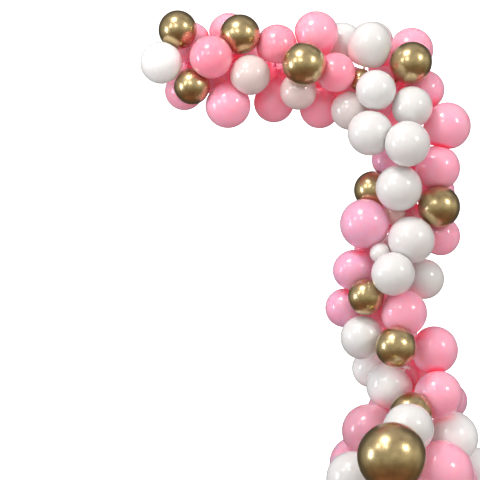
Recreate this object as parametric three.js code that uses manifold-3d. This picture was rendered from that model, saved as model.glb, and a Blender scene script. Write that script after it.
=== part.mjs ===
// Balloon garland: an arm that reaches out to the left, a corner, and a column that drops to a
// heavy foot. Millimetres, +Z up. The front faces -Y and the wall is on the +Y side.
// The origin is the middle of the flat where the strip lies over its hook at the corner.
import * as THREE from 'three';
import { mergeVertices } from 'three/addons/utils/BufferGeometryUtils.js';
import Module from 'manifold-3d';

const wasm = await Module();
wasm.setup();

const CM = 10;

// The flexible strip that carries every balloon
const STRIP_WIDTH = 20;
const STRIP_THICKNESS = 2;
const STRIP_STEPS = 3;
const STRIP_CLEARANCE = 11.5;
const STRIP_SAMPLE = 10;

// A balloon's profile: the angles of its rings from the neck, and its shares of the radius
const CROWN_ANGLES = [144, 108, 76, 50];
const CROWN_BULGE = 1.02;
const NECK_START = 1.42;
const NECK_START_RADIUS = 6;
const MAX_REACH = 1.9;

// A neck starts within this share of the way to the knot
const NECK_SHARE = 0.96;

// Small balloons, and those behind the front row, have fewer sides
const SIDES = 10;
const PLAIN_SIDES = 8;
const PLAIN_RADIUS = 98;
const FRONT_ROW = 0;

// How far a knot stands off the strip, and where and how steeply a neck is tucked behind
const TIE_DISTANCE = 12.5;
const PAIR_TIE_DISTANCE = 18;
const PAIR_KNOT_RADIUS = 6;
const TUCK_FORWARD = 70;
const TUCK_SLOPE = 0.7;

// Skins stay this far apart, and corners this close are one
const GAP = 0.4;
const SAME_PLACE = 1e-3;

// How the balloons press on each other: the share of its radius that each gives way.
// Those low down carry more and give more.
const PRESS = 0.08;
const FOOT_PRESS = 0.14;
const SETTLE_ROUNDS = 400;
const PUSH_SHARE = 0.25;
const HOME_PULL = 0.35;
const STRIP_ROOM = 16;

const LOOKS = {
  gold: { color: 0x9c7a3c, roughness: 0.22, metalness: 1.0 },
  white: { color: 0xf3efee, roughness: 0.35, metalness: 0.0 },
  pink: { color: 0xf7a3bd, roughness: 0.3, metalness: 0.0 },
  strip: { color: 0xe9e9e6, roughness: 0.5, metalness: 0.0 },
};

// Where the balloons are tied, from the free end of the arm to the foot, in centimetres.
// knot is the place on the strip: right of the origin, and up.
// A tie is a colour and one balloon, or two of that colour knotted together.
// A balloon is its diameter, then its middle's place from the knot: right, up and forward.
const CLUSTERS = [
  {
    place: 'arm_end',
    knot: [-83, 5],
    ties: [
      ['gold', [19.5, -4, 15.5, 3]],
      ['white', [21, -12, -1, 3]],
      ['pink', [21.5, 12.7, 1.5, 7]],
      ['gold', [18, 3.2, -12.6, 10]],
      ['pink', [21.5, 2, 10, -12], [19.5, -1, -14, -8], [17, 3, -2, -16]],
    ],
  },
  {
    place: 'arm_outer',
    knot: [-57, 3],
    ties: [
      ['gold', [20, 1, 15.1, 9]],
      ['white', [20, 6, -5.2, 12]],
      ['pink', [22.5, -5, -20, 1]],
      ['pink', [20.5, -4.5, 17, -10], [21.5, 4.5, 2, -13], [19, -7.5, -7, -9]],
    ],
  },
  {
    place: 'arm_middle',
    knot: [-32, 1],
    ties: [
      ['pink', [21, -5.5, 12, 4]],
      ['gold', [21.5, 7.5, 1.7, 14]],
      ['white', [18.5, 5, -11, 7]],
      ['pink', [20, -7, -16, -2], [20, -4, 0, -14]],
    ],
  },
  {
    place: 'arm_inner',
    knot: [-9, 0.1],
    ties: [
      ['white', [21, 4.5, 15, -8]],
      ['pink', [22, -9, 19, -2], [19.5, 0.5, -1, 11]],
      ['pink', [20, -7, -18, -3], [20, -8, 0, -14], [20, 9, -6, -15]],
    ],
  },
  {
    place: 'corner',
    knot: [10, -2.5],
    ties: [
      ['white', [21, -1.5, 15, 4], [19, 2, 19.5, -13]],
      ['white', [20, 1.1, -7.5, 17], [19.5, -11, -17, 3]],
      ['gold', [11.5, -6, -2, 8]],
      ['pink', [20, 8, -3.5, -14], [18, 8.5, 6, -20]],
    ],
  },
  {
    place: 'shoulder',
    knot: [22, -12.5],
    ties: [
      ['gold', [21, 7, 16.5, 4]],
      ['white', [20.5, 7.2, -5.6, 13]],
      ['white', [22.5, -13.7, -18.6, 11]],
      ['pink', [22, 8.5, 24.5, -10], [19.5, 15, 4, -7], [17, -10.5, -5, -11]],
    ],
  },
  {
    place: 'upper_column',
    knot: [26.5, -31],
    ties: [
      ['white', [22.5, -0.4, -5.8, 17]],
      ['pink', [17, -8, -13, -3]],
      ['pink', [23.5, 21, 4, 2], [22.5, 16, -17, 3]],
      ['pink', [21, -2.5, 8, -13], [20, 3.5, -11, -15]],
    ],
  },
  {
    place: 'high_column',
    knot: [28.5, -51],
    ties: [
      ['white', [23, -6, -7.3, 17]],
      ['gold', [19, -18, -8, 2]],
      ['pink', [20.5, 13.5, -8.5, -11], [22, -4, -21, -13]],
    ],
  },
  {
    place: 'middle_column',
    knot: [26.5, -72],
    ties: [
      ['gold', [21, 16.3, 4.5, 10]],
      ['white', [11, -5.5, 1, 6]],
      ['pink', [24, -20.5, -4, 5.5]],
      ['pink', [19.5, 18, -10, -2]],
    ],
  },
  {
    place: 'waist',
    knot: [21, -91],
    ties: [
      ['white', [23.5, 7.7, 7, 16]],
      ['pink', [9.5, -15, 2.5, -3], [20.5, -20, -8, 1]],
      ['white', [10.5, -7.5, 0.5, 15], [21.5, -1.7, -9.7, 18]],
      ['white', [20, 1, 1, -13]],
    ],
  },
  {
    place: 'low_column',
    knot: [18, -109.5],
    ties: [
      ['white', [20, 18, 6, 1]],
      ['gold', [18, -11.6, -2.7, 13]],
      ['pink', [23, 7.3, -10.7, 6]],
      ['pink', [19.5, -21.5, -8.5, -4], [21.5, -3.5, -8.5, -12]],
    ],
  },
  {
    place: 'lower_column',
    knot: [21, -128.5],
    ties: [
      ['white', [22, -16, -4, 6]],
      ['gold', [20.5, -0.2, -8.2, 17]],
      ['pink', [23, 20, -10.5, 2], [20, 3, -2.5, -13]],
    ],
  },
  {
    place: 'ankle',
    knot: [29, -148],
    press: FOOT_PRESS,
    ties: [
      ['white', [19.5, -18.5, -1, -18], [23.5, -10, -9, -4]],
      ['pink', [24, 13.3, -12.9, 5]],
      ['pink', [19, 20.5, -17.5, -16], [21, 2.5, -2, -13], [20, 2, -19, -14]],
    ],
  },
  {
    place: 'foot_top',
    knot: [35, -171],
    press: FOOT_PRESS,
    ties: [
      ['gold', [21.5, -6.8, 1.3, 15]],
      ['white', [25, -9.3, -4.8, 33]],
      ['white', [27, 14.5, -12, 4], [24, -1, -13, -15]],
      ['pink', [26.5, -27, -8, 2], [21, -16, 1, -12]],
    ],
  },
  {
    place: 'foot',
    knot: [29, -195],
    press: FOOT_PRESS,
    ties: [
      ['gold', [33.5, -12.3, 7.2, 52]],
      ['white', [26.5, -29.2, -6.6, 15], [24, -10.2, 8.6, 14], [24, -3.5, -12, 17]],
      ['pink', [33, 12.9, -3.5, 17], [24, 22.5, -11, -7]],
      ['pink', [28, -26, -1.5, -5], [26, -9, -9, -13]],
      ['white', [20, 34, -4, -15]],
    ],
  },
];

// Straight stretches of the strip, each from one point to the next, in centimetres.
// A hook or a clip takes the strip there. after is the cluster that the stretch follows.
const FLATS = [
  { after: 'arm_end', from: [-76, 3.9], to: [-70, 3.9] },
  { after: 'arm_inner', from: [-3, 0.1], to: [3, 0.1] },
  { after: 'high_column', from: [28.6, -58], to: [28.6, -64] },
  { after: 'foot', from: [26, -204], to: [26, -210] },
];
const STRIP_START = [-90, 5.4];

// The strip

const wallPlane = ([right, up]) => new THREE.Vector3(right * CM, 0, up * CM);

// The strip's middle line: a smooth curve through the knots, straight along each flat.
function stripLine() {
  const points = [wallPlane(STRIP_START)];
  const straight = [];
  for (const cluster of CLUSTERS) {
    points.push(wallPlane(cluster.knot));
    for (const flat of FLATS.filter((each) => each.after === cluster.place)) {
      straight.push(points.length);
      points.push(wallPlane(flat.from), wallPlane(flat.to));
    }
  }
  const curve = new THREE.CatmullRomCurve3(points, false, 'centripetal');
  const spans = points.length - 1;
  const line = [];
  for (let span = 0; span < spans; span += 1) {
    const steps = straight.includes(span) ? 1 : STRIP_STEPS;
    for (let step = 0; step < steps; step += 1) {
      line.push(curve.getPoint((span + step / steps) / spans));
    }
  }
  line.push(points[spans]);
  return line;
}

// The strip's outline in the wall's plane, half a thickness each side of the line,
// extruded across its width.
function stripGeometry(line) {
  const near = [];
  const far = [];
  line.forEach((point, index) => {
    const before = line[Math.max(index - 1, 0)];
    const after = line[Math.min(index + 1, line.length - 1)];
    const into = point.clone().sub(before).normalize();
    const out = after.clone().sub(point).normalize();
    const along = into.clone().add(out).normalize();
    const side = new THREE.Vector2(-along.z, along.x);
    const corner = index === 0 || index === line.length - 1 ? 1 : along.dot(out);
    const offset = side.multiplyScalar(STRIP_THICKNESS / 2 / corner);
    near.push(new THREE.Vector2(point.x, point.z).add(offset));
    far.push(new THREE.Vector2(point.x, point.z).sub(offset));
  });
  const outline = new THREE.Shape([...near, ...far.reverse()]);
  const geometry = new THREE.ExtrudeGeometry(outline, {
    depth: STRIP_WIDTH,
    bevelEnabled: false,
    steps: 1,
  });
  geometry.translate(0, 0, -STRIP_WIDTH / 2);
  geometry.rotateX(Math.PI / 2);
  return geometry;
}

// Points close together along the strip's line, which the balloons keep clear of.
function stripSamples(line) {
  const samples = [];
  for (let index = 0; index + 1 < line.length; index += 1) {
    const count = Math.ceil(line[index].distanceTo(line[index + 1]) / STRIP_SAMPLE);
    for (let step = 0; step < count; step += 1) {
      samples.push(line[index].clone().lerp(line[index + 1], step / count));
    }
  }
  samples.push(line[line.length - 1]);
  return samples;
}

// Where the balloons come to rest

const TIE_KINDS = ['balloon', 'pair', 'trio'];

function readBalloons() {
  const balloons = [];
  const ties = [];
  const counts = {};
  for (const cluster of CLUSTERS) {
    for (const [colour, ...members] of cluster.ties) {
      const kind = TIE_KINDS[members.length - 1];
      const key = `${colour}_${kind}`;
      counts[key] = (counts[key] ?? 0) + 1;
      const tie = { name: `${key}_${String(counts[key]).padStart(2, '0')}`, colour, balloons: [] };
      for (const [diameter, right, up, forward] of members) {
        const [knotRight, knotUp] = cluster.knot;
        const home = new THREE.Vector3((knotRight + right) * CM, -forward * CM, (knotUp + up) * CM);
        const balloon = { tie, home, middle: home.clone(), radius: (diameter * CM) / 2 };
        balloon.firm = balloon.radius * (1 - (cluster.press ?? PRESS));
        tie.balloons.push(balloon);
        balloons.push(balloon);
      }
      ties.push(tie);
    }
  }
  return { balloons, ties };
}

const nearest = (point, samples) => samples.reduce(
  (best, sample) => (sample.distanceToSquared(point) < best.distanceToSquared(point) ? sample : best),
);

// Balloons that press too hard push each other apart, mostly forward and back, and away from
// the strip, while each is drawn back to its own place across and up.
function settle(balloons, samples) {
  for (let round = 0; round < SETTLE_ROUNDS; round += 1) {
    for (const balloon of balloons) {
      balloon.push = new THREE.Vector3();
    }
    for (const balloon of balloons) {
      for (const other of balloons) {
        const away = balloon.middle.clone().sub(other.middle);
        const distance = away.length();
        const wanted = balloon.firm + other.firm;
        if (other === balloon || distance >= wanted) {
          continue;
        }
        away.divideScalar(distance);
        const share = Math.min(1, (wanted - distance) / CM);
        const depth = new THREE.Vector3(0, Math.sign(away.y) * share, 0);
        balloon.push.addScaledVector(away.add(depth), (wanted - distance) * PUSH_SHARE);
      }
      const strip = nearest(balloon.middle, samples);
      const short = balloon.radius + STRIP_ROOM - balloon.middle.distanceTo(strip);
      if (short > 0) {
        balloon.push.y += (Math.sign(balloon.middle.y) * short) / 2;
      }
    }
    for (const { middle, home, push } of balloons) {
      middle.add(push);
      middle.x += (home.x - middle.x) * HOME_PULL;
      middle.z += (home.z - middle.z) * HOME_PULL;
    }
  }
}

// One balloon's neck runs to the strip. A balloon that stands in front has its neck tucked back
// behind it, and a neck has a longest reach, past which it is held by its neighbours' necks.
function singleKnot(middle, outward, radius) {
  const neck = outward.clone().negate();
  const across = Math.hypot(neck.x, neck.z);
  const allowed = TUCK_SLOPE * neck.y;
  if (-middle.y > TUCK_FORWARD && across > allowed) {
    neck.x *= allowed / across;
    neck.z *= allowed / across;
  }
  const reach = Math.min(neck.length() - TIE_DISTANCE, radius * MAX_REACH);
  return middle.clone().addScaledVector(neck.normalize(), reach);
}

// Each tie is made fast beside the strip, at the point nearest to its balloons.
function placeKnots(ties, samples) {
  for (const tie of ties) {
    const middle = new THREE.Vector3();
    for (const balloon of tie.balloons) {
      middle.addScaledVector(balloon.middle, 1 / tie.balloons.length);
    }
    const strip = nearest(middle, samples);
    const outward = middle.clone().sub(strip);
    if (tie.balloons.length > 1) {
      tie.knot = strip.clone().addScaledVector(outward.normalize(), PAIR_TIE_DISTANCE);
    } else {
      tie.knot = singleKnot(middle, outward, tie.balloons[0].radius);
    }
    for (const balloon of tie.balloons) {
      balloon.axis = tie.knot.clone().sub(balloon.middle);
      balloon.reach = balloon.axis.length();
      balloon.axis.normalize();
    }
  }
}

// Balloon shapes

// What a balloon presses against, as planes: a direction from its middle and how far it may go.
// Two balloons share the flat where their spheres meet. Necks, knots and the strip leave a dent.
function pressPlanes(balloon, balloons, samples) {
  const planes = [];
  const addPoint = (point, keepOff) => {
    const toward = point.clone().sub(balloon.middle);
    const distance = toward.length();
    if (distance - keepOff < balloon.reach) {
      planes.push({ toward: toward.divideScalar(distance), limit: distance - keepOff });
    }
  };
  for (const other of balloons) {
    if (other === balloon) {
      continue;
    }
    const toward = other.middle.clone().sub(balloon.middle);
    const distance = toward.length();
    const shared = (distance ** 2 + balloon.radius ** 2 - other.radius ** 2) / (2 * distance);
    planes.push({ toward: toward.divideScalar(distance), limit: shared - GAP / 2 });
    if (other.tie !== balloon.tie) {
      const start = other.radius * NECK_START;
      for (let along = start; along < other.reach; along += NECK_START_RADIUS) {
        const point = other.middle.clone().addScaledVector(other.axis, along);
        addPoint(point, NECK_START_RADIUS + GAP);
      }
      addPoint(other.tie.knot, PAIR_KNOT_RADIUS + GAP);
    }
  }
  for (const sample of samples) {
    addPoint(sample, STRIP_CLEARANCE);
  }
  return planes;
}

// A round crown that narrows to the neck: half circle, straight shoulder, thin neck.
function balloonProfile({ radius, reach }) {
  const points = [new THREE.Vector2(0, -radius)];
  for (const angle of CROWN_ANGLES) {
    const turn = THREE.MathUtils.degToRad(angle);
    const reached = new THREE.Vector2(Math.sin(turn), Math.cos(turn));
    points.push(reached.multiplyScalar(radius * CROWN_BULGE));
  }
  const neckStart = Math.min(radius * NECK_START, reach * NECK_SHARE);
  points.push(new THREE.Vector2(NECK_START_RADIUS, neckStart));
  points.push(new THREE.Vector2(0, reach));
  return points;
}

// The profile turned about the neck's axis, then flattened where it presses on its neighbours.
// The neck itself isn't flattened.
function balloonGeometry(balloon, planes) {
  const plain = balloon.radius < PLAIN_RADIUS || balloon.middle.y > FRONT_ROW;
  const sides = plain ? PLAIN_SIDES : SIDES;
  const geometry = new THREE.LatheGeometry(balloonProfile(balloon), sides);
  const turn = new THREE.Quaternion().setFromUnitVectors(new THREE.Vector3(0, 1, 0), balloon.axis);
  geometry.applyQuaternion(turn);
  const places = geometry.getAttribute('position');
  const point = new THREE.Vector3();
  for (let index = 0; index < places.count; index += 1) {
    point.fromBufferAttribute(places, index);
    const onNeckEnd = point.dot(balloon.axis) > balloon.reach - GAP;
    if (!onNeckEnd) {
      let allowed = 1;
      for (const { toward, limit } of planes) {
        const ahead = point.dot(toward);
        if (ahead > limit) {
          allowed = Math.min(allowed, limit / ahead);
        }
      }
      point.multiplyScalar(allowed);
      places.setXYZ(index, point.x, point.y, point.z);
    }
  }
  return geometry;
}

// Joining two balloons at their knot

function toManifold(geometry) {
  const bare = geometry.clone();
  bare.deleteAttribute('normal');
  bare.deleteAttribute('uv');
  const merged = mergeVertices(bare, SAME_PLACE);
  const corners = merged.index.array;
  const faces = [];
  for (let face = 0; face < corners.length; face += 3) {
    const [a, b, c] = corners.slice(face, face + 3);
    if (a !== b && b !== c && c !== a) {
      faces.push(a, b, c);
    }
  }
  return new wasm.Manifold(new wasm.Mesh({
    numProp: 3,
    vertProperties: merged.getAttribute('position').array,
    triVerts: new Uint32Array(faces),
  }));
}

function toGeometry(solid) {
  const mesh = solid.getMesh();
  const geometry = new THREE.BufferGeometry();
  geometry.setAttribute('position', new THREE.BufferAttribute(mesh.vertProperties, 3));
  geometry.setIndex(new THREE.BufferAttribute(mesh.triVerts, 1));
  return geometry;
}

function pairGeometry(tie, shapes) {
  let joined = toManifold(new THREE.OctahedronGeometry(PAIR_KNOT_RADIUS));
  tie.balloons.forEach((balloon, index) => {
    const offset = balloon.middle.clone().sub(tie.knot);
    const shape = shapes[index].clone().translate(offset.x, offset.y, offset.z);
    joined = joined.add(toManifold(shape));
  });
  return toGeometry(joined);
}

// Assembly

const material = Object.fromEntries(
  Object.entries(LOOKS).map(([name, look]) => [name, new THREE.MeshStandardMaterial(look)]),
);

const garland = new THREE.Group();
const line = stripLine();
const samples = stripSamples(line);

const strip = new THREE.Mesh(stripGeometry(line), material.strip);
strip.name = 'strip';
garland.add(strip);

const { balloons, ties } = readBalloons();
settle(balloons, samples);
placeKnots(ties, samples);

for (const tie of ties) {
  const shapes = tie.balloons.map(
    (balloon) => balloonGeometry(balloon, pressPlanes(balloon, balloons, samples)),
  );
  const single = shapes.length === 1;
  const mesh = new THREE.Mesh(single ? shapes[0] : pairGeometry(tie, shapes), material[tie.colour]);
  mesh.name = tie.name;
  mesh.position.copy(single ? tie.balloons[0].middle : tie.knot);
  garland.add(mesh);
}

export default garland;
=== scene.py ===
import math

import bpy
import numpy as np
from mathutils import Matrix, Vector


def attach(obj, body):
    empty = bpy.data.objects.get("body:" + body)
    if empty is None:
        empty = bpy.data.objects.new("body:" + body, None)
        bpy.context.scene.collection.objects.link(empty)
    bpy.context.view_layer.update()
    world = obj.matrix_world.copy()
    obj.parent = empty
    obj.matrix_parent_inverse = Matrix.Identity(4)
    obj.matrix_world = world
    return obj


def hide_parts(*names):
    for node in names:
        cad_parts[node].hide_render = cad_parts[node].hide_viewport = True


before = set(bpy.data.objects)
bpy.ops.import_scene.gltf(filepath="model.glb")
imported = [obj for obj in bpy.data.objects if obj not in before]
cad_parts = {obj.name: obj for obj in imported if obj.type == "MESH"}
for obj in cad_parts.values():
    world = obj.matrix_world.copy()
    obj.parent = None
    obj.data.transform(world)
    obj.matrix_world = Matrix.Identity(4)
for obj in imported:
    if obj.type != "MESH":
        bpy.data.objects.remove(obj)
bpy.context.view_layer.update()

# The balloons
# Each is blown to a half centimetre of its size and knotted, alone or in a pair or a trio.
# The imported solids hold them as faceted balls, so their size, place and knot are read there.
CROWN_BULGE = 1.02
SIZE_STEP = 0.0025
SMALLEST_RADIUS = 0.04
LARGEST_RADIUS = 0.18
TRIAL_BALLS = 16000
SHORT_LIST = 400
SAME_BALL = 0.0002
LEAST_SOLID_CORNER = 1e-7
SAME_RING = 0.0006
TINY = 1e-9
CORNER_DIGITS = 5
TIE_COUNTS = {"balloon": 1, "pair": 2, "trio": 3}
PAIR_KNOT_RADIUS = 0.006
RING_ANGLES = (144, 108, 76, 50)


def corner_points(node):
    """The corner points of a frame node, each once."""
    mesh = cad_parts[node].data
    places = np.empty(3 * len(mesh.vertices))
    mesh.vertices.foreach_get("co", places)
    return np.unique(places.reshape(-1, 3).round(CORNER_DIGITS), axis=0)


def ring_votes(points, middles, places):
    """How many points stand on the rings of each solid. Seen from a balloon's middle, the rings
    stand at four known angles from its neck, also where they are pressed in."""
    necks = places - middles
    necks /= np.maximum(np.linalg.norm(necks, axis=-1), TINY)[..., None]
    spokes = points - middles[..., None, :]
    spokes /= np.maximum(np.linalg.norm(spokes, axis=-1), TINY)[..., None]
    turned = (spokes * necks[..., None, :]).sum(-1)[..., None] - np.cos(np.radians(RING_ANGLES))
    return (np.abs(turned) < SAME_RING).any(-1).sum(-1)


def find_ball(points, chance, knot):
    """The ball that most points lie on: many balls are laid through four points at a time, those
    that aren't a whole step in size are dropped, and the one that passes through most is kept.
    Once a tie's knot is known, the points on the rings that face it count too."""
    picked = points[chance.integers(0, len(points), (TRIAL_BALLS, 4))]
    rows = 2 * (picked[:, 1:] - picked[:, :1])
    sides = (picked[:, 1:] ** 2).sum(-1) - (picked[:, :1] ** 2).sum(-1)
    solvable = np.abs(np.linalg.det(rows)) > LEAST_SOLID_CORNER
    middles = np.linalg.solve(rows[solvable], sides[solvable][..., None])[..., 0]
    radii = np.linalg.norm(picked[solvable][:, 0] - middles, axis=1)
    blown = radii / CROWN_BULGE
    in_range = (blown > SMALLEST_RADIUS) & (blown < LARGEST_RADIUS)
    whole_step = np.abs(blown - SIZE_STEP * np.round(blown / SIZE_STEP)) < SAME_BALL
    middles = middles[in_range & whole_step]
    radii = radii[in_range & whole_step]
    off = np.abs(np.linalg.norm(points[None] - middles[:, None], axis=2) - radii[:, None])
    votes = (off < SAME_BALL).sum(1)
    if knot is not None:
        likely = np.argsort(-votes, kind="stable")[:SHORT_LIST]
        votes[likely] += ring_votes(points, middles[likely], knot)
    best = votes.argmax()
    on = off[best] < SAME_BALL
    terms = np.c_[2 * points[on], np.ones(on.sum())]
    fitted = np.linalg.lstsq(terms, (points[on] ** 2).sum(1), rcond=None)[0]
    blown = SIZE_STEP * round(float(radii[best]) / CROWN_BULGE / SIZE_STEP)
    return fitted[:3], blown, ~on


def find_knot(points, balls, alone):
    """Where a tie is knotted: the place that most corner points have on their rings' axis. A lone
    balloon's knot is a corner point itself, a shared one is the middle of a small knot."""
    arms = np.zeros((1, 3)) if alone else PAIR_KNOT_RADIUS * np.r_[np.eye(3), -np.eye(3)]
    places = (points[:, None] + arms).reshape(-1, 3)
    votes = sum(ring_votes(points, middle[None], places) for middle, _ in balls)
    return places[votes.argmax()]


balloons = []
for node in sorted(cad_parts):
    if node == "strip":
        continue
    corners = corner_points(node)
    chance = np.random.default_rng(11)
    count = TIE_COUNTS[node.split("_")[1]]
    left, balls, knot = corners, [], None
    for _ in range(count):
        middle, radius, off = find_ball(left, chance, knot)
        balls.append((middle, radius))
        left = left[off]
        knot = find_knot(corners, balls, count == 1)
    for middle, radius in balls:
        axis = knot - middle
        reach = float(np.linalg.norm(axis))
        balloons.append(
            {"node": node, "middle": middle, "radius": radius, "knot": knot,
             "axis": axis / reach, "reach": reach, "alone": count == 1}
        )

# Where the balloons press on each other
# Packed balloons share a flat where they meet, and give way to the strip and to the necks
# that run between them.
GAP = 0.0006
NECK_START = 1.42
NECK_KEEP_OFF = 0.0062
STRIP_KEEP_OFF = 0.0122
NECK_STEP = 0.006
STRIP_STEP = 0.004
PLACES_ON_AN_EDGE = 10
NEAR_ENOUGH = 1.3
LEAST_ROOM = 0.02
SOFTNESS = 26

strip_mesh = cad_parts["strip"].data
strip_corners = np.empty(3 * len(strip_mesh.vertices))
strip_mesh.vertices.foreach_get("co", strip_corners)
strip_faces = strip_corners.reshape(-1, 3, 3)
along_edge = np.linspace(0, 1, PLACES_ON_AN_EDGE)[:, None, None, None]
strip_edges = np.roll(strip_faces, 1, axis=1) - strip_faces
strip_path = (strip_faces + along_edge * strip_edges).reshape(-1, 3)
strip_path[:, 1] = 0
strip_path = np.unique((strip_path / STRIP_STEP).round(), axis=0) * STRIP_STEP


def press_planes(balloon):
    """What a balloon presses against: directions from its middle, and how far it may go in
    each. Two balloons meet where their round skins would cross. A neck and the strip count as
    points."""
    middle, radius = balloon["middle"], balloon["radius"]
    toward, limit = [], []
    points, keep_off = [strip_path], [np.full(len(strip_path), STRIP_KEEP_OFF)]
    for other in balloons:
        if other is balloon:
            continue
        between = other["middle"] - middle
        distance = float(np.linalg.norm(between))
        shared = (distance**2 + radius**2 - other["radius"] ** 2) / (2 * distance)
        toward.append((between / distance)[None])
        limit.append([shared - GAP / 2])
        if other["node"] != balloon["node"]:
            along = np.arange(NECK_START * other["radius"], other["reach"], NECK_STEP)
            neck = other["middle"] + along[:, None] * other["axis"]
            points.append(np.r_[neck, other["knot"][None]])
            keep_off.append(np.full(len(neck) + 1, NECK_KEEP_OFF))
    offset = np.concatenate(points) - middle
    distance = np.linalg.norm(offset, axis=1)
    toward.append(offset / distance[:, None])
    limit.append(distance - np.concatenate(keep_off))
    toward, limit = np.concatenate(toward), np.concatenate(limit)
    reached = limit < NEAR_ENOUGH * radius
    return toward[reached], np.maximum(limit[reached], LEAST_ROOM)


def pressed(offsets, balloon):
    """Each point drawn in towards the middle. The share is one over the sum, to a high power, of
    how far it would pass each limit, so that the flats have soft edges."""
    toward, limit = press_planes(balloon)
    passed = np.maximum(offsets @ toward.T / limit, 0)
    return (1 + (passed**SOFTNESS).sum(1)) ** (-1 / SOFTNESS)


# The balloon's skin
# Latex blown round, drawn out to a neck, tied in a knot and ending in a flared lip with a rolled
# rim. It is one skin from the crown to the lip.
AROUND = 72
SHOULDER_ANGLE = math.radians(52)
CROWN_RINGS, SHOULDER_RINGS, NECK_RINGS = 42, 14, 6
SHOULDER_LEAVES, SHOULDER_ARRIVES, NECK_TAPER = 0.80, 0.50, 0.10
EARLIEST_NECK = 0.72
NECK_RADIUS = 0.0052
NECK_WAIST = 0.0014
NECK_END_RADIUS = 0.0038
LEAST_NECK = 0.003
KNOT_LENGTH = 0.024
MOUTH_DEPTH = 0.012
LUMP_INSET = 0.004
SLACK_ON_BALL, SLACK_BEFORE_NECK, SLACK_PAST_NECK = 0.75, 0.8, 0.004
HOLLOW_BEGINS, HOLLOW_IS_DEEP = 0.35, 1.2
TAIL = [
    (0.0, 0.0042), (0.0016, 0.0062), (0.0040, 0.0074), (0.0064, 0.0066), (0.0082, 0.0040),
    (0.0096, 0.0030), (0.0120, 0.0036), (0.0160, 0.0062), (0.0200, 0.0086), (0.0212, 0.0094),
    (0.0222, 0.0098), (0.0232, 0.0092), (0.0228, 0.0080), (0.0180, 0.0056), (0.0140, 0.0030),
]


def skin_outline(radius, reach, alone, length, width):
    """The outline from crown to lip, as along and out. A circle to the shoulder, a smooth cubic
    to the neck, a slightly waisted neck, then for a lone balloon its knot and lip. A balloon that
    is less round has its own length and width, as shares of the circle's."""
    turn = np.linspace(np.pi, SHOULDER_ANGLE, CROWN_RINGS)
    body = np.c_[radius * length * np.cos(turn), radius * width * np.sin(turn)]
    tail_start = reach - (KNOT_LENGTH if alone else LUMP_INSET)
    neck_start = min(NECK_START * radius, tail_start - 4 * LEAST_NECK)
    neck_start = max(neck_start, EARLIEST_NECK * radius)
    tail_start = max(tail_start, neck_start + LEAST_NECK)
    t = np.linspace(0, 1, SHOULDER_RINGS)[1:, None]
    start, end = body[-1], np.array([neck_start, NECK_RADIUS])
    tangent = np.array([math.sin(SHOULDER_ANGLE), -math.cos(SHOULDER_ANGLE)])
    leave = SHOULDER_LEAVES * radius * tangent
    arrive = SHOULDER_ARRIVES * radius * np.array([1.0, -NECK_TAPER])
    shoulder = (
        (2 * t**3 - 3 * t**2 + 1) * start + (t**3 - 2 * t**2 + t) * leave
        + (3 * t**2 - 2 * t**3) * end + (t**3 - t**2) * arrive
    )
    s = np.linspace(0, 1, NECK_RINGS)[1:-1, None]
    neck = np.c_[
        neck_start + s * (tail_start - neck_start),
        NECK_RADIUS - NECK_WAIST * np.sin(np.pi * s / 2),
    ]
    outline = [body, shoulder, neck]
    if alone:
        outline.append(np.array(TAIL) + [tail_start, 0])
        outline.append([[tail_start + MOUTH_DEPTH, 0]])
    else:
        outline.append([[tail_start, NECK_END_RADIUS], [reach, 0]])
    outline = np.concatenate(outline)
    outline[:, 1] = np.maximum(outline[:, 1], 0)
    outline[0, 1] = 0
    return outline, neck_start, tail_start


def around_axis(outline, axis):
    """The outline turned about an axis: one pole, rings of points, one pole."""
    side = np.cross(axis, [0.0, 0.0, 1.0] if abs(axis[2]) < 0.9 else [1.0, 0.0, 0.0])
    side /= np.linalg.norm(side)
    other_side = np.cross(axis, side)
    turn = np.linspace(0, 2 * np.pi, AROUND, endpoint=False)
    spoke = np.cos(turn)[:, None] * side + np.sin(turn)[:, None] * other_side
    rings = outline[1:-1, 0, None, None] * axis + outline[1:-1, 1, None, None] * spoke[None]
    return np.concatenate([outline[:1, :1] * axis, rings.reshape(-1, 3), outline[-1:, :1] * axis])


def ring_faces(rings, around, first):
    """Faces between rings of points, with a fan at each pole, as corner lists and their lengths.
    first is the number of the surface's first point."""
    ring = first + 1 + np.arange(rings * around).reshape(rings, around)
    after = np.roll(ring, -1, axis=1)
    quads = np.stack([ring[:-1], ring[1:], after[1:], after[:-1]], axis=-1).reshape(-1, 4)
    last = first + 1 + rings * around
    start = np.stack([np.full(around, first), ring[0], after[0]], axis=-1)
    end = np.stack([np.full(around, last), after[-1], ring[-1]], axis=-1)
    return quads, np.concatenate([start, end])


def make_mesh(name, surfaces, values):
    """A mesh from closed surfaces of revolution, each given as its points and how many stand in
    a ring, with named values for each point."""
    quads, fans, first = [], [], 0
    for places, around in surfaces:
        some_quads, some_fans = ring_faces((len(places) - 2) // around, around, first)
        quads.append(some_quads)
        fans.append(some_fans)
        first += len(places)
    quads, fans = np.concatenate(quads), np.concatenate(fans)
    places = np.concatenate([surface[0] for surface in surfaces])
    mesh = bpy.data.meshes.new(name)
    mesh.vertices.add(len(places))
    mesh.vertices.foreach_set("co", places.ravel())
    mesh.loops.add(quads.size + fans.size)
    mesh.loops.foreach_set("vertex_index", np.concatenate([quads.ravel(), fans.ravel()]))
    mesh.polygons.add(len(quads) + len(fans))
    starts = np.r_[4 * np.arange(len(quads)), quads.size + 3 * np.arange(len(fans))]
    mesh.polygons.foreach_set("loop_start", starts)
    mesh.update(calc_edges=True)
    mesh.validate()
    mesh.polygons.foreach_set("use_smooth", np.ones(len(starts), dtype=bool))
    for value_name, value in values.items():
        layer = mesh.attributes.new(value_name, "FLOAT", "POINT")
        layer.data.foreach_set("value", np.concatenate(value))
    return mesh


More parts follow.
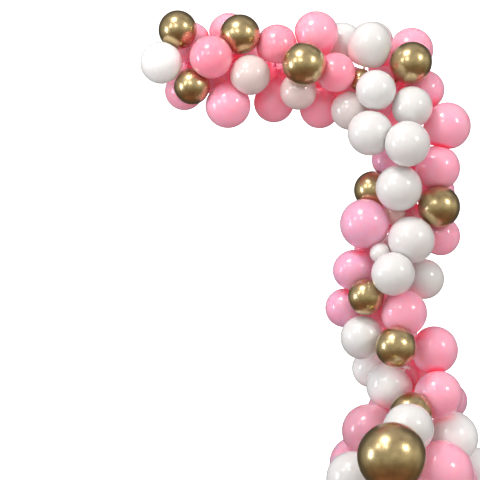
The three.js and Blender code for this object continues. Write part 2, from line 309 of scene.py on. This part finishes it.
def smooth_rise(value, start, end):
    """Nought before start, one after end, and a smooth rise between."""
    t = np.clip((value - start) / (end - start), 0, 1)
    return t * t * (3 - 2 * t)


def balloon_skin(balloon):
    """One balloon's points, and how little each is stretched: nought on the body, one at the
    lip."""
    radius, axis = balloon["radius"], balloon["axis"]
    outline, neck_start, tail_start = skin_outline(
        radius, balloon["reach"], balloon["alone"], *balloon["shape"]
    )
    offsets = around_axis(outline, axis)
    along = offsets @ axis
    on_neck = smooth_rise(along, neck_start, max(tail_start, neck_start + 2 * LEAST_NECK))
    share = pressed(offsets, balloon)
    offsets = offsets * (share + (1 - share) * on_neck)[:, None]
    slack_start = min(SLACK_ON_BALL * radius, SLACK_BEFORE_NECK * neck_start)
    slack = smooth_rise(along, slack_start, neck_start + SLACK_PAST_NECK)
    return balloon["middle"] + offsets, slack


def hollow_share(points, balloon):
    """How much of what each point faces is covered by pink balloons, which sets where red
    reflected light and glow are painted into the colour: a sum of how squarely it faces each one,
    times the share of its view that it fills."""
    outward = points - balloon["middle"]
    outward /= np.linalg.norm(outward, axis=1)[:, None]
    covered = np.zeros(len(points))
    for other in balloons:
        if other is balloon or not other["node"].startswith("pink"):
            continue
        toward = other["middle"] - points
        distance = np.linalg.norm(toward, axis=1)
        facing = np.maximum((toward * outward).sum(1) / distance, 0)
        covered += facing * np.minimum(other["radius"] / distance, 1) ** 2
    return smooth_rise(covered, HOLLOW_BEGINS, HOLLOW_IS_DEEP)


# Shared knots
# Balloons of one colour that are tied together have their necks wound round each other in one
# lump of latex, and each lip sticks out of it to a side.
LUMP_AROUND, LUMP_RINGS = 28, 18
LUMP_RADIUS = 0.0086
RIDGES, RIDGE_SLANT, RIDGE_HEIGHT = 3, 4, 0.13
RIDGES_START = (0.31, 0.2, 0.93)
LIP_SINKS_IN = 0.0056
LIP_ROOT, LIP_FLOOR = 0.0030, 0.0070
LIP_LEAN = 0.3
NOT_NOUGHT = 1e-6


def lump_skin(knot, axis):
    """A ball with three wound ridges: its radius swells and sinks along slanting bands."""
    height = np.linspace(0, np.pi, LUMP_RINGS)[1:-1, None]
    turn = np.linspace(0, 2 * np.pi, LUMP_AROUND, endpoint=False)[None]
    ridge = RIDGE_HEIGHT * np.sin(RIDGES * turn + RIDGE_SLANT * height) * np.sin(height)
    out = LUMP_RADIUS * (1 + ridge)
    side = np.cross(axis, RIDGES_START)
    side /= np.linalg.norm(side)
    other_side = np.cross(axis, side)
    rings = (
        (out * np.cos(height))[..., None] * -axis
        + (out * np.sin(height) * np.cos(turn))[..., None] * side
        + (out * np.sin(height) * np.sin(turn))[..., None] * other_side
    )
    pole = axis[None] * LUMP_RADIUS
    return np.concatenate([knot - pole, knot + rings.reshape(-1, 3), knot + pole])


def lip_skin(knot, direction):
    """A flared lip with a rolled rim, leaving the lump in one direction."""
    flare = np.array(TAIL[5:]) - [LIP_SINKS_IN, 0]
    outline = np.concatenate([[[LIP_ROOT, 0]], flare, [[LIP_FLOOR, 0]]])
    return knot + around_axis(outline, direction)


def tie_piece(node, material):
    """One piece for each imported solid: its balloons' skins, with the lump and lips of a shared
    knot. It stands for the solid and rides with it."""
    members = [balloon for balloon in balloons if balloon["node"] == node]
    surfaces, slack, tone_and_painted_light, hollow = [], [], [], []
    for balloon in members:
        points, loose = balloon_skin(balloon)
        surfaces.append((points, AROUND))
        slack.append(loose)
        tone_and_painted_light.append(np.full(len(points), balloon["tone_and_painted_light"]))
        hollow.append(hollow_share(points, balloon))
    if len(members) > 1:
        knot = members[0]["knot"]
        inward = np.mean([balloon["axis"] for balloon in members], axis=0)
        inward /= max(float(np.linalg.norm(inward)), NOT_NOUGHT)
        apart = np.cross(inward, members[0]["axis"] - members[1]["axis"])
        apart /= max(float(np.linalg.norm(apart)), NOT_NOUGHT)
        surfaces.append((lump_skin(knot, inward), LUMP_AROUND))
        sideways = [apart, -apart, np.cross(inward, apart)]
        for direction in sideways[: len(members)]:
            direction = direction + LIP_LEAN * inward
            surfaces.append((lip_skin(knot, direction / np.linalg.norm(direction)), AROUND))
        for points, _ in surfaces[len(members):]:
            # The lump and lips are fully slack and take the full painted hollow light.
            slack.append(np.ones(len(points)))
            tone_and_painted_light.append(np.full(len(points), members[0]["tone_and_painted_light"]))
            hollow.append(np.ones(len(points)))
    values = {"slack": slack, "tone_and_painted_light": tone_and_painted_light, "hollow": hollow}
    piece = bpy.data.objects.new(f"{node}_skin", make_mesh(f"{node}_skin", surfaces, values))
    bpy.context.scene.collection.objects.link(piece)
    piece.data.materials.append(material)
    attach(piece, "root")
    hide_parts(node)


# Tones and shapes that differ from balloon to balloon
# Colours aren't even from batch to batch, and the listed tones also paint the light and shade
# that each balloon gets: minus one is the fullest colour, which on a white balloon is painted
# brighter light, nought the plain one, one its cool twin, painted in cool light, and two a copy
# painted in shade. The random tones are batch differences only. A few balloons are blown longer
# or wider than round.
TONES_AND_PAINTED_LIGHT = {
    "pink_balloon_01": [-0.9], "pink_balloon_02": [0.3], "pink_balloon_03": [-0.7],
    "pink_balloon_04": [1.0], "pink_balloon_05": [1.0], "pink_pair_01": [-0.5, 0.0],
    "pink_pair_02": [-0.3, -0.9], "pink_pair_07": [1.0, 1.0], "pink_pair_08": [0.4, 1.0],
    "pink_pair_10": [1.9, 1.2], "pink_pair_11": [0.0, 1.0], "pink_pair_12": [1.0, 1.5],
    "pink_trio_03": [-0.5, 0.0, 0.0], "pink_trio_05": [1.3, 0.3, 0.3],
    "white_balloon_01": [-0.8], "white_balloon_02": [1.3], "white_balloon_03": [1.4],
    "white_balloon_04": [-0.3], "white_balloon_09": [1.7], "white_balloon_12": [0.2],
    "white_balloon_13": [0.0], "white_balloon_15": [-1.0], "white_pair_02": [0.0, 1.0],
    "white_pair_03": [0.1, 0.3], "white_pair_04": [-1.0, -0.8], "white_pair_05": [-1.0, 0.0],
}
SHAPES = {
    "white_pair_01": [(1.20, 1.04), (1.0, 1.0)], "gold_balloon_06": [(1.06, 0.98)],
    "gold_balloon_01": [(1.04, 0.98)], "pink_pair_07": [(1.05, 0.99), (1.0, 1.0)],
    "pink_balloon_05": [(1.0, 1.04)], "pink_pair_09": [(1.03, 1.04), (1.0, 1.0)],
}

MOST_USUAL_TONE = 0.25

tone_chance = np.random.default_rng(5)
places_taken = {}
for balloon in balloons:
    node = balloon["node"]
    place = places_taken.get(node, 0)
    places_taken[node] = place + 1
    usual = float(tone_chance.uniform(0, MOST_USUAL_TONE))
    balloon["tone_and_painted_light"] = TONES_AND_PAINTED_LIGHT[node][place] if node in TONES_AND_PAINTED_LIGHT else usual
    balloon["shape"] = SHAPES[node][place] if node in SHAPES else (1.0, 1.0)


# Pink balloons
# Plain bubble-gum latex, shiny and a little see-through. A faint red glow is painted in for the
# light shining through it, stronger in the hollows between balloons, which are also painted red
# with reflected light. It is deeper in colour where it is slack, at neck and lip.
def set_sockets(node, values):
    """Constants on a node's sockets, by their names."""
    for socket, value in values.items():
        node.inputs[socket].default_value = value


def node_tools(tree):
    """Short ways to add a node to a tree and to join two sockets."""
    def add(kind, sockets=None, **settings):
        node = tree.nodes.new(kind)
        for key, value in settings.items():
            setattr(node, key, value)
        set_sockets(node, sockets or {})
        return node

    def join(source, target):
        tree.links.new(source, target)

    return add, join


def new_material(name):
    """A node material with its shader, and the tools for its tree."""
    material = bpy.data.materials.new(name)
    material.use_nodes = True
    add, join = node_tools(material.node_tree)
    return material, material.node_tree.nodes["Principled BSDF"], add, join


def share_between(add, join, source, start, end, most):
    """A value that rises from nought at start to most at end."""
    share = add("ShaderNodeMapRange", {"From Min": start, "From Max": end, "To Max": most})
    join(source, share.inputs["Value"])
    return share.outputs["Result"]


def mix_colours(add, join, share, start, end):
    """The start colour where the share is nought and the end colour where it is one."""
    mix = add("ShaderNodeMix", data_type="RGBA")
    for socket, colour in ((6, start), (7, end)):
        if isinstance(colour, tuple):
            mix.inputs[socket].default_value = (*colour, 1)
        else:
            join(colour, mix.inputs[socket])
    join(share, mix.inputs[0])
    return mix.outputs[2]


def latex_colour(add, join, tight, full, cool_and_painted_light, painted_shade, slack, painted_hollow_light, most_painted_hollow_light, mottle):
    """The colour of blown latex, and how deep in a hollow it is: tight on the body and slack at
    the neck, shifted by its tone towards a fuller colour, painted cool light or painted shade,
    mottled where the skin is thicker, and painted with reflected pink light in the hollows
    between balloons."""
    place = add("ShaderNodeTexCoord")
    clouds = add("ShaderNodeTexNoise", {"Scale": 9.0, "Detail": 4.0, "Roughness": 0.6})
    join(place.outputs["Object"], clouds.inputs["Vector"])
    cloudy = share_between(add, join, clouds.outputs["Fac"], 0.35, 0.75, mottle)
    tone_and_painted_light = add("ShaderNodeAttribute", attribute_name="tone_and_painted_light").outputs["Fac"]
    loose = add("ShaderNodeAttribute", attribute_name="slack").outputs["Fac"]
    hollow = add("ShaderNodeAttribute", attribute_name="hollow").outputs["Fac"]
    colour = tight
    # The tone moves the colour to a fuller one, to painted cool light or to painted shade.
    for start, end, tone_colour in ((0.0, -1.0, full), (0.0, 1.0, cool_and_painted_light), (1.0, 2.0, painted_shade)):
        share = share_between(add, join, tone_and_painted_light, start, end, 1.0)
        colour = mix_colours(add, join, share, colour, tone_colour)
    colour = mix_colours(add, join, cloudy, colour, slack)
    # Painted reflected pink light: the colour moves to the hollow colour where pink balloons
    # crowd round.
    share = share_between(add, join, hollow, 0.0, 1.0, most_painted_hollow_light)
    colour = mix_colours(add, join, share, colour, painted_hollow_light)
    return mix_colours(add, join, loose, colour, slack), hollow


def tie_all(starts_with, material):
    """Every piece whose node's name starts so."""
    for node in sorted(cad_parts):
        if node.startswith(starts_with):
            tie_piece(node, material)


pink_latex, shader, add, join = new_material("pink_latex")
# The hollow colour is painted red reflected light, and the tone colours after the plain one are
# painted cool light and painted shade.
colour, hollow = latex_colour(
    add, join, tight=(0.99, 0.44, 0.565), full=(0.90, 0.31, 0.41), cool_and_painted_light=(0.76, 0.41, 0.56),
    painted_shade=(0.62, 0.31, 0.39), slack=(0.92, 0.14, 0.25), painted_hollow_light=(0.93, 0.16, 0.26), most_painted_hollow_light=0.75,
    mottle=0.10,
)
join(colour, shader.inputs["Base Color"])
# A painted glow: a faint red emission all over, stronger in the hollows, stands in for light
# shining through the latex.
painted_glow = mix_colours(add, join, hollow, (0.045, 0.006, 0.010), (0.13, 0.009, 0.020))
join(painted_glow, shader.inputs["Emission Color"])
set_sockets(shader, {
    "Emission Strength": 1.0, "Roughness": 0.30, "Subsurface Weight": 1.0,
    "Subsurface Radius": (1.0, 0.22, 0.30), "Subsurface Scale": 0.05,
    "Coat Weight": 0.75, "Coat Roughness": 0.14,
})
tie_all("pink", pink_latex)

# White balloons
# Pearl latex: a milky white with a faint silky shimmer. Pink light reflected from its neighbours
# is painted into its colour in the hollows, with a faint painted pink glow.
white_latex, shader, add, join = new_material("white_latex")
# The hollow colour is painted pink reflected light, and the tone colours also paint brighter
# light, cool light and shade.
colour, hollow = latex_colour(
    add, join, tight=(0.72, 0.72, 0.71), full=(0.90, 0.90, 0.89), cool_and_painted_light=(0.70, 0.63, 0.61),
    painted_shade=(0.76, 0.47, 0.44), slack=(0.74, 0.69, 0.67), painted_hollow_light=(0.88, 0.54, 0.56), most_painted_hollow_light=0.35,
    mottle=0.25,
)
join(colour, shader.inputs["Base Color"])
# A painted pink glow in the hollows stands in for reflected light.
painted_glow = mix_colours(add, join, hollow, (0.0, 0.0, 0.0), (0.13, 0.07, 0.07))
join(painted_glow, shader.inputs["Emission Color"])
set_sockets(shader, {
    "Emission Strength": 1.0, "Roughness": 0.32, "Subsurface Weight": 0.60,
    "Subsurface Radius": (1.0, 0.85, 0.85), "Subsurface Scale": 0.03,
    "Coat Weight": 0.75, "Coat Roughness": 0.14,
})
tie_all("white", white_latex)

# Gold balloons
# Chrome latex: a metal finish under a thin clear skin, with soft bright window lights and olive
# shade. Where it mirrors pink neighbours, a painted reflection also reddens its colour.
gold_latex, shader, add, join = new_material("gold_latex")
# The hollow colour is a painted reflection of pink neighbours.
colour, _ = latex_colour(
    add, join, tight=(0.60, 0.475, 0.255), full=(0.62, 0.48, 0.24), cool_and_painted_light=(0.53, 0.42, 0.24),
    painted_shade=(0.45, 0.33, 0.17), slack=(0.42, 0.28, 0.11), painted_hollow_light=(0.52, 0.27, 0.15), most_painted_hollow_light=0.8,
    mottle=0.35,
)
join(colour, shader.inputs["Base Color"])
set_sockets(shader, {
    "Metallic": 1.0, "Roughness": 0.29, "Coat Weight": 0.5, "Coat Roughness": 0.07,
})
tie_all("gold", gold_latex)

# The strip
# A clear flexible plastic ribbon, extruded flat, that every knot is tied against. It is hidden
# among the balloons.
strip_plastic, shader, add, join = new_material("strip_plastic")
place = add("ShaderNodeTexCoord")
haze = add("ShaderNodeTexNoise", {"Scale": 140.0, "Detail": 3.0})
join(place.outputs["Object"], haze.inputs["Vector"])
haze_range = add("ShaderNodeMapRange", {"To Min": 0.03, "To Max": 0.10})
join(haze.outputs["Fac"], haze_range.inputs["Value"])
join(haze_range.outputs["Result"], shader.inputs["Roughness"])
set_sockets(shader, {
    "Base Color": (0.94, 0.90, 0.90, 1), "Transmission Weight": 0.95, "IOR": 1.5,
})
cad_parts["strip"].data.materials.clear()
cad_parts["strip"].data.materials.append(strip_plastic)

# Room
# A white seamless floor and back, soft white light all round, and soft boxes, a tall side light
# and two window panes that the shiny skins mirror.
FLOOR_HEIGHT = -2.215
FLOOR_FRONT, SWEEP_START, SWEEP_RADIUS, WALL_HEIGHT = -9.0, 17.0, 3.0, 12.0
SWEEP_STEPS = 12
FLOOR_SIDES = (-12.0, 12.0)
CAMERA_PLACE = (-0.56, -14.0, -0.84)
LIT_PLACE = (-0.1, 0.0, -0.8)

sweep = np.linspace(0, np.pi / 2, SWEEP_STEPS)
rise = SWEEP_RADIUS * np.c_[np.sin(sweep), 1 - np.cos(sweep)] + [SWEEP_START, 0]
run = np.r_[[[FLOOR_FRONT, 0.0]], rise, [[SWEEP_START + SWEEP_RADIUS, WALL_HEIGHT]]]
grid = np.stack(
    [np.repeat([FLOOR_SIDES], len(run), 0), np.repeat(run[:, :1], 2, 1),
     FLOOR_HEIGHT + np.repeat(run[:, 1:], 2, 1)], axis=-1
)
corner = np.arange(2 * len(run)).reshape(-1, 2)
floor_faces = np.stack([corner[:-1, 0], corner[:-1, 1], corner[1:, 1], corner[1:, 0]], axis=-1)
floor_mesh = bpy.data.meshes.new("floor")
floor_mesh.from_pydata(grid.reshape(-1, 3).tolist(), [], floor_faces.tolist())
floor_mesh.polygons.foreach_set("use_smooth", [True] * len(floor_faces))
floor = bpy.data.objects.new("floor", floor_mesh)
bpy.context.scene.collection.objects.link(floor)
floor_white, shader, add, join = new_material("floor_white")
set_sockets(shader, {
    "Base Color": (0.95, 0.95, 0.95, 1), "Roughness": 0.9, "Specular IOR Level": 0.0,
    "Emission Color": (1, 1, 1, 1), "Emission Strength": 0.95,
})
floor_mesh.materials.append(floor_white)
floor.visible_glossy = False
floor.visible_diffuse = False
floor.visible_shadow = False


def soft_box(name, toward, distance, size, power, colour):
    """A rectangular light in one direction from the garland's middle, turned to face it."""
    light = bpy.data.lights.new(name, "AREA")
    light.shape = "RECTANGLE"
    light.size, light.size_y = size
    light.energy = power
    light.color = colour
    lamp = bpy.data.objects.new(name, light)
    bpy.context.scene.collection.objects.link(lamp)
    toward = np.array(toward) / np.linalg.norm(toward)
    lamp.location = np.array(LIT_PLACE) + distance * toward
    lamp.rotation_mode = "QUATERNION"
    lamp.rotation_quaternion = Vector(toward.tolist()).to_track_quat("Z", "Y")
    lamp.visible_camera = False


soft_box("key", (-0.36, -0.47, 0.80), 9.0, (2.0, 1.8), 355, (1.0, 0.98, 0.95))
soft_box("fill", (0.69, -0.60, 0.41), 12.0, (1.5, 2.2), 315, (1.0, 0.97, 0.93))
soft_box("side", (-0.96, -0.28, 0.03), 9.0, (1.3, 3.0), 180, (0.82, 0.88, 1.0))
soft_box("left_pane", (-0.70, -0.59, 0.40), 5.0, (0.85, 0.95), 22, (1.0, 0.98, 0.93))
soft_box("right_pane", (-0.33, -0.83, 0.45), 5.0, (0.85, 0.95), 22, (1.0, 0.98, 0.93))

world = bpy.data.worlds.new("studio")
bpy.context.scene.world = world
world.use_nodes = True
background = world.node_tree.nodes["Background"]
add, join = node_tools(world.node_tree)
rays = add("ShaderNodeLightPath")
sky_place = add("ShaderNodeTexCoord")
sky_parts = add("ShaderNodeSeparateXYZ")
join(sky_place.outputs["Generated"], sky_parts.inputs["Vector"])


def sky_ramp(stops):
    """A colour for each height in the room, from -1 straight down to 1 straight up."""
    height_range = add("ShaderNodeMapRange", {"From Min": -1.0})
    join(sky_parts.outputs["Z"], height_range.inputs["Value"])
    ramp = add("ShaderNodeValToRGB")
    elements = ramp.color_ramp.elements
    for index, (height, colour) in enumerate(stops):
        stop = elements[0] if index == 0 else elements.new((height + 1) / 2)
        stop.position = (height + 1) / 2
        stop.color = (*colour, 1)
    elements.remove(elements[-1])
    join(height_range.outputs["Result"], ramp.inputs["Fac"])
    return ramp.outputs["Color"]


mirrored = sky_ramp([
    (-1.0, (0.33, 0.14, 0.085)), (-0.45, (0.25, 0.17, 0.10)), (0.0, (0.64, 0.62, 0.50)),
    (0.4, (0.66, 0.63, 0.57)), (0.99, (0.64, 0.60, 0.57)),
])
lighting = sky_ramp([
    (-1.0, (0.58, 0.53, 0.51)), (-0.2, (0.66, 0.63, 0.62)), (0.3, (0.69, 0.68, 0.69)),
    (0.99, (0.88, 0.88, 0.88)),
])
behind_range = add(
    "ShaderNodeMapRange", {"From Min": 0.0, "From Max": 0.8}, interpolation_type="SMOOTHSTEP"
)
join(sky_parts.outputs["Y"], behind_range.inputs["Value"])
furnished = add("ShaderNodeTexNoise", {"Scale": 3.2, "Detail": 4.0})
join(sky_place.outputs["Generated"], furnished.inputs["Vector"])
furnished_range = add(
    "ShaderNodeMapRange", {"From Min": 0.35, "From Max": 0.65, "To Min": 0.35, "To Max": 1.35}
)
join(furnished.outputs["Fac"], furnished_range.inputs["Value"])
broken = add("ShaderNodeVectorMath", operation="SCALE")
join(mirrored, broken.inputs[0])
join(furnished_range.outputs["Result"], broken.inputs["Scale"])
behind = behind_range.outputs["Result"]
shaded = mix_colours(add, join, behind, broken.outputs["Vector"], (0.08, 0.07, 0.06))
unlit = mix_colours(add, join, rays.outputs["Is Glossy Ray"], lighting, shaded)
seen = mix_colours(add, join, rays.outputs["Is Camera Ray"], unlit, (1.0, 1.0, 1.0))
join(seen, background.inputs["Color"])
background.inputs["Strength"].default_value = 1.0

camera_data = bpy.data.cameras.new("camera")
camera_data.lens = 210
camera_data.sensor_width = 36
camera_data.clip_end = 100
camera = bpy.data.objects.new("camera", camera_data)
camera.location = CAMERA_PLACE
camera.rotation_euler = (math.pi / 2, 0, 0)
bpy.context.scene.collection.objects.link(camera)
bpy.context.scene.camera = camera
bpy.context.scene.view_settings.view_transform = "Standard"
bpy.context.scene.cycles.diffuse_bounces = 8
